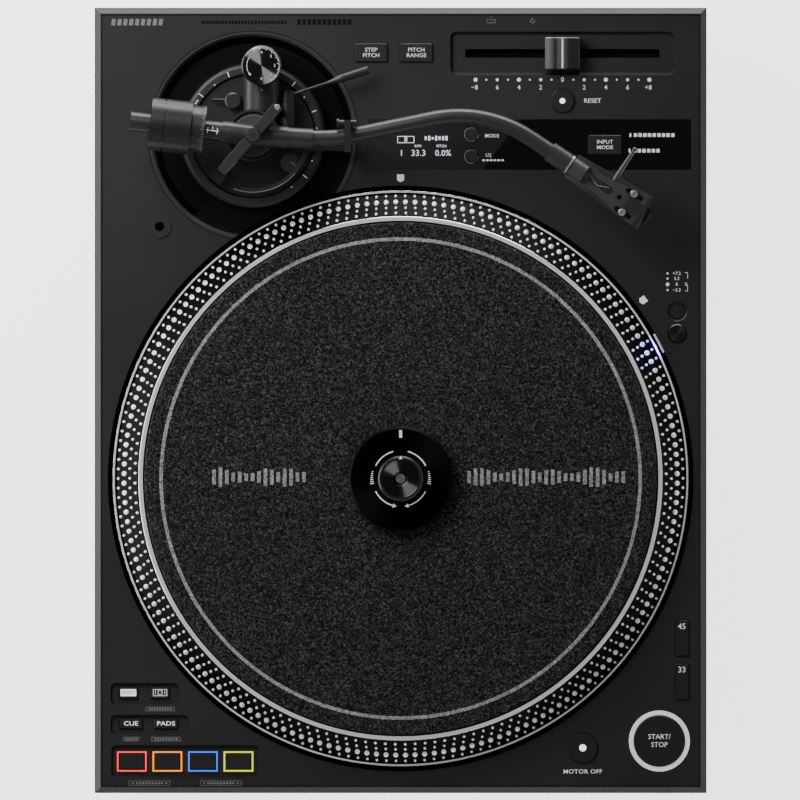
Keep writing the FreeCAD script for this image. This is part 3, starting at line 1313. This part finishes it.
def arm_clip():
    """The hinged clip over the parked arm: barrel, knob and hook."""
    centre = from_pivot(REST_AT, 0)
    hinge_y = centre.y + TUBE_R + CLIP_HINGE_AT
    hinge_z = ARM_Z + CLIP_HINGE_RISE
    top = ARM_Z + TUBE_R + CLIP_RISE
    barrel = rod(V(centre.x - CLIP_BARREL_HALF, hinge_y, hinge_z),
                 V(centre.x + CLIP_BARREL_HALF, hinge_y, hinge_z), CLIP_BARREL_R)
    half = CLIP_W / 2
    back = block(centre.x - half, centre.x + half, hinge_y - CLIP_BARREL_R,
                 hinge_y + CLIP_BARREL_R, hinge_z, top + CLIP_T)
    strap = block(centre.x - half, centre.x + half, centre.y - CLIP_REACH,
                  hinge_y + CLIP_BARREL_R, top, top + CLIP_T)
    knob = rod(V(centre.x - CLIP_BARREL_HALF - CLIP_KNOB_T, hinge_y, hinge_z),
               V(centre.x - CLIP_BARREL_HALF, hinge_y, hinge_z), CLIP_KNOB_R)
    return join(barrel, [back, strap, knob])


# ---------------------------------------------------------------- tonearm
def bend_point(corner, before, after, radius):
    """Start, middle and end of the arc that rounds one corner of a route."""
    come = before.sub(corner).normalize()
    leave = after.sub(corner).normalize()
    half = come.getAngle(leave) / 2
    reach = radius / math.tan(half)
    inward = come.add(leave).normalize()
    centre = corner.add(inward.multiply(radius / math.sin(half)))
    middle = centre.add(corner.sub(centre).normalize().multiply(radius))
    start = corner.add(V(come).multiply(reach))
    end = corner.add(V(leave).multiply(reach))
    return start, middle, end


def shell_point(along, across, z):
    """A point in the headshell: along its axis from its back edge, and to its left."""
    angle = math.radians(SHELL_DEG)
    back = from_pivot(SHELL_BACK, z)
    dx = along * math.cos(angle) - across * math.sin(angle)
    dy = along * math.sin(angle) + across * math.cos(angle)
    return V(back.x + dx, back.y + dy, z)


def s_tube():
    """The S-shaped tube: straight runs joined by tangent arcs."""
    start = polar(30, FRONT_DEG, ARM_Z)
    corner_a = from_pivot(ARM_BEND_A, ARM_Z)
    corner_b = shell_point(ARM_BEND_B_ALONG, 0, ARM_Z)
    end = shell_point(-2, 0, ARM_Z)
    a0, a1, a2 = bend_point(corner_a, start, corner_b, ARM_ARC_A)
    b0, b1, b2 = bend_point(corner_b, corner_a, end, ARM_ARC_B)
    route = Part.Wire([
        Part.makeLine(start, a0),
        Part.Arc(a0, a1, a2).toShape(),
        Part.makeLine(a2, b0),
        Part.Arc(b0, b1, b2).toShape(),
        Part.makeLine(b2, end),
    ])
    mouth = Part.Wire(Part.makeCircle(TUBE_R, start, a0.sub(start)))
    return route.makePipeShell([mouth], True, False)


def arm_tube():
    """Arm tube, front collar, bearing block, rear shaft and end stub in one piece."""
    centre = polar(0, 0, ARM_Z)
    block_front = polar(ARM_BLOCK_FRONT, FRONT_DEG, ARM_Z)
    block_rear = polar(ARM_BLOCK_REAR, REAR_DEG, ARM_Z)
    collar_end = polar(ARM_COLLAR_END, FRONT_DEG, ARM_Z)
    shaft_end = polar(SHAFT_END, REAR_DEG, ARM_Z)
    pieces = [
        rod(centre, block_front, BLOCK_R),
        Part.makeSphere(BLOCK_R, centre),
        rod(block_front, collar_end, BLOCK_R - 0.5),
        rod(centre, block_rear, BLOCK_R),
        rod(block_rear, shaft_end, SHAFT_R),
    ]
    tail = shell_point(-2, 0, ARM_Z)
    plug = rod(tail, shell_point(1, 0, ARM_Z), PLUG_R)
    arm = join(s_tube(), pieces + [plug])
    axle = rod(polar(20, BRIDGE_DEG, ARM_Z), polar(20, BRIDGE_DEG + 180, ARM_Z), PITCH_PIN_R + RUN_FIT)
    return arm.cut(axle)


def on_shaft(r_from, r_to, radius):
    return rod(polar(r_from, REAR_DEG, ARM_Z), polar(r_to, REAR_DEG, ARM_Z), radius)


def counterweight():
    """The balance weight: wide flange behind, plain body, bored to slide on the shaft."""
    body = on_shaft(WEIGHT_FROM, WEIGHT_TO, WEIGHT_R)
    groove_to = WEIGHT_TO - WEIGHT_GROOVE_AT
    flange_cut = on_shaft(groove_to - WEIGHT_GROOVE, groove_to, WEIGHT_R)
    core = on_shaft(groove_to - WEIGHT_GROOVE, groove_to, WEIGHT_R - WEIGHT_GROOVE_D)
    bore = on_shaft(WEIGHT_FROM - 1, WEIGHT_TO + 1, SHAFT_R + RUN_FIT)
    return body.cut([flange_cut.cut(core), bore])


def weight_scale_ring():
    """The numbered ring in front of the weight."""
    start = WEIGHT_FROM - SCALE_RING_W - SCALE_RING_GAP
    ring = on_shaft(start, start + SCALE_RING_W, SCALE_RING_R)
    return ring.cut(on_shaft(start - 1, start + SCALE_RING_W + 1, SHAFT_R + RUN_FIT))


def shell_collar():
    """The locking nut that draws the headshell on to the arm."""
    start = shell_point(-2 - COLLAR_L, 0, ARM_Z)
    end = shell_point(-2, 0, ARM_Z)
    nut = rod(start, end, COLLAR_R)
    return nut.cut(rod(shell_point(-3 - COLLAR_L, 0, ARM_Z), shell_point(0, 0, ARM_Z), TUBE_R + RUN_FIT))


def shell_slot(from_along, to_along, across, width, z0, z1):
    """A slot with round ends that runs along the headshell."""
    half = width / 2
    low = shell_point(from_along, across, z0)
    corners = [
        shell_point(from_along, across - half, z0),
        shell_point(to_along, across - half, z0),
        shell_point(to_along, across + half, z0),
        shell_point(from_along, across + half, z0),
    ]
    bar = Part.Face(Part.makePolygon(corners + [corners[0]])).extrude(V(0, 0, z1 - z0))
    high = shell_point(to_along, across, z0)
    return bar.multiFuse([post(low.x, low.y, half, z0, z1), post(high.x, high.y, half, z0, z1)])


def headshell():
    """The cast shell: socket, slotted plate, side lips and finger lift."""
    top = ARM_Z - SHELL_DROP + SHELL_T
    low = top - SHELL_T
    outline = [
        (0, -SHELL_BACK_W / 2),
        (SHELL_L + SHELL_NOSE, -SHELL_FRONT_W / 2 + 1),
        (SHELL_L - 1, SHELL_FRONT_W / 2 + SHELL_SIDE_STEP),
        (0, SHELL_BACK_W / 2),
    ]
    points = [shell_point(a, c, low) for a, c in outline]
    plate = Part.Face(Part.makePolygon(points + [points[0]])).extrude(V(0, 0, SHELL_T))
    socket = rod(shell_point(0, 0, ARM_Z), shell_point(SHELL_SOCKET_L, 0, ARM_Z),
                 COLLAR_R - SHELL_SOCKET_STEP)
    washer = rod(shell_point(-WASHER_T, 0, ARM_Z), shell_point(0, 0, ARM_Z), WASHER_R)
    lips = []
    for side in (-1, 1):
        lip = [
            (1, side * (SHELL_BACK_W / 2 - LIP_T)),
            (1, side * SHELL_BACK_W / 2),
            (SHELL_L - 1, side * (SHELL_FRONT_W / 2 - LIP_FRONT_IN)),
            (SHELL_L - 1, side * (SHELL_FRONT_W / 2 - LIP_FRONT_IN - LIP_T)),
        ]
        corners = [shell_point(a, c, low - LIP_H) for a, c in lip]
        lips.append(Part.Face(Part.makePolygon(corners + [corners[0]])).extrude(V(0, 0, LIP_H)))
    root = shell_point(FINGER_AT, SHELL_BACK_W / 2 - 1, top - FINGER_DROP)
    tip = shell_point(FINGER_AT, FINGER_TIP, top + FINGER_RISE)
    lift = taper(root, tip, FINGER_ROOT_R, FINGER_TIP_R)
    knob = Part.makeSphere(FINGER_KNOB_R, tip)
    shell = join(plate, [socket, washer] + lips + [lift, knob])
    half = CARTRIDGE_SCREW_GAP / 2
    sight = shell_point(SIGHT_HOLE_AT, 0, 0)
    cuts = [
        shell_slot(*WIRE_SLOT, 0, WIRE_SLOT_W, ARM_Z - COLLAR_R, ARM_Z + COLLAR_R),
        shell_slot(*SCREW_SLOTS, half, SCREW_SLOT_SPAN, low, top),
        shell_slot(*SCREW_SLOTS, -half, SCREW_SLOT_SPAN, low, top),
        post(sight.x, sight.y, SIGHT_HOLE_R, low, top),
        rod(shell_point(-2, 0, ARM_Z), shell_point(1, 0, ARM_Z), PLUG_R),
    ]
    return shell.cut(cuts)


def cartridge():
    """The pickup: body, two screws, stylus holder, cantilever and tip."""
    low = ARM_Z - SHELL_DROP
    body_low = low - PICKUP_H
    outline = [(PICKUP_FROM, -PICKUP_HALF_W), (PICKUP_TO, -PICKUP_HALF_W),
               (PICKUP_TO, PICKUP_HALF_W), (PICKUP_FROM, PICKUP_HALF_W)]
    points = [shell_point(a, c, body_low) for a, c in outline]
    body = Part.Face(Part.makePolygon(points + [points[0]])).extrude(V(0, 0, low - body_low))
    holder_outline = [(HOLDER_FROM, -HOLDER_HALF_W), (HOLDER_TO, -HOLDER_HALF_W),
                      (HOLDER_TO, HOLDER_HALF_W), (HOLDER_FROM, HOLDER_HALF_W)]
    holder_points = [shell_point(a, c, body_low - HOLDER_DROP) for a, c in holder_outline]
    holder = Part.Face(Part.makePolygon(holder_points + [holder_points[0]]))
    holder = holder.extrude(V(0, 0, HOLDER_H))
    arm = rod(shell_point(CANTILEVER_FROM, 0, body_low - CANTILEVER_DROP),
              shell_point(STYLUS_AT, 0, STYLUS_Z + 1), CANTILEVER_R)
    tip = taper(shell_point(STYLUS_AT, 0, STYLUS_Z + TIP_H), shell_point(STYLUS_AT, 0, STYLUS_Z),
                CANTILEVER_R, TIP_R)
    parts = [holder, arm, tip]
    half = CARTRIDGE_SCREW_GAP / 2
    for side in (-half, half):
        centre = shell_point(CARTRIDGE_SCREW_AT, side, 0)
        parts.append(post(centre.x, centre.y, PICKUP_SCREW_R, low,
                          low + SHELL_T + PICKUP_HEAD_LAP))
        parts.append(post(centre.x, centre.y, PICKUP_HEAD_R, low + SHELL_T,
                          low + SHELL_T + PICKUP_HEAD_H))
    return join(body, parts)


# ---------------------------------------------------------------- panel controls
def key(name):
    """A sprung key: cap through the panel and a flange that keeps it in."""
    sunk = KEYS[name][5]
    top = PANEL_TOP - sunk + KEY_PROUD
    flange_top = PANEL_UNDER - KEY_GAP
    stem_low = flange_top - KEY_FLANGE_T
    cap = key_body(name, flange_top, top, 0.0)
    cap = cap.makeChamfer(0.5, edges_at(cap, top))
    return join(cap, [key_body(name, stem_low, flange_top, KEY_FLANGE)])


def light_button():
    """The lamp's push key: a plain round cap and no flange, next to the lamp post."""
    x, y = KEYS["light_button"][:2]
    return post(x, y, KEYS["light_button"][2] / 2, PANEL_UNDER - KEY_FLANGE_T,
                PANEL_TOP - LIGHT_KEY_DROP)


def target_light():
    """The lamp post that pops up beside the platter."""
    x, y = TARGET_AT
    top = PANEL_TOP + TARGET_PROUD
    body = post(x, y, TARGET_R, TARGET_BOTTOM, top)
    return body.makeChamfer(TARGET_CHAMFER, edges_at(body, top))


def pitch_slider():
    """The fader's cap with its grip ribs, and the stem that goes down through the slot."""
    x, y = FADER_AT
    low = PANEL_TOP - RECESS_DEPTH + 0.5
    half_w = FADER_CAP_W / 2
    half_d = FADER_CAP_D / 2
    cap = slab(x - half_w, x + half_w, y - half_d, y + half_d, 1.0, low, FADER_CAP_TOP)
    cap = cap.makeChamfer(FADER_CHAMFER, edges_at(cap, FADER_CAP_TOP))
    stem_half = FADER_SLOT_L / 2 - FADER_TRAVEL - STEM_END_GAP
    stem_y = FADER_SLOT_W / 2 - STEM_SIDE_GAP
    stem = block(x - stem_half, x + stem_half, y - stem_y, y + stem_y, BOARD_TOP + STEM_FROM, low)
    return join(cap, [stem])


# ---------------------------------------------------------------- every node
def nodes():
    made = {
        "side_frame": side_frame(),
        "top_panel": top_panel(),
        "platter_well": platter_well(),
        "bottom_cover": bottom_cover(),
        "rear_jack_panel": rear_jack_panel(),
        "rear_sockets": rear_sockets(),
        "circuit_boards": circuit_boards(),
        "display_window": display_window(),
        "stator_coils": stator_coils(),
        "bearing_housing": bearing_housing(),
        "arm_base_pan": arm_base_pan(),
        "chassis_screws": chassis_screws(),
        "light_guides": light_guides(),
        "power_switch": power_switch(),
        "platter": platter(),
        "spindle": spindle(),
        "rotor_magnet": rotor_magnet(),
        "slipmat": slipmat(),
        "clamp_body": clamp_body(),
        "clamp_dial": clamp_dial(),
        "height_ring": height_ring(),
        "arm_base": arm_base(),
        "gimbal_bridge": gimbal_bridge(),
        "gimbal_ring": gimbal_ring(),
        "antiskate_dial": antiskate_dial(),
        "height_lock_lever": height_lock_lever(),
        "cue_lever": cue_lever(),
        "lift_bar": lift_bar(),
        "arm_clip": arm_clip(),
        "arm_tube": arm_tube(),
        "counterweight": counterweight(),
        "weight_scale_ring": weight_scale_ring(),
        "shell_collar": shell_collar(),
        "headshell": headshell(),
        "cartridge": cartridge(),
        "pitch_slider": pitch_slider(),
        "target_light": target_light(),
        "light_button": light_button(),
    }
    for name in KEYS:
        if name != "light_button":
            made[name] = key(name)
    foot_names = ("foot_front_left", "foot_front_right", "foot_rear_left", "foot_rear_right")
    for name, place in zip(foot_names, foot_places()):
        made[name] = foot(*place)
    return made


os.makedirs("parts", exist_ok=True)
for node, shape in nodes().items():
    if not shape.isValid():
        raise ValueError("not a valid solid: " + node)
    shape.exportStep("parts/" + node + ".step")
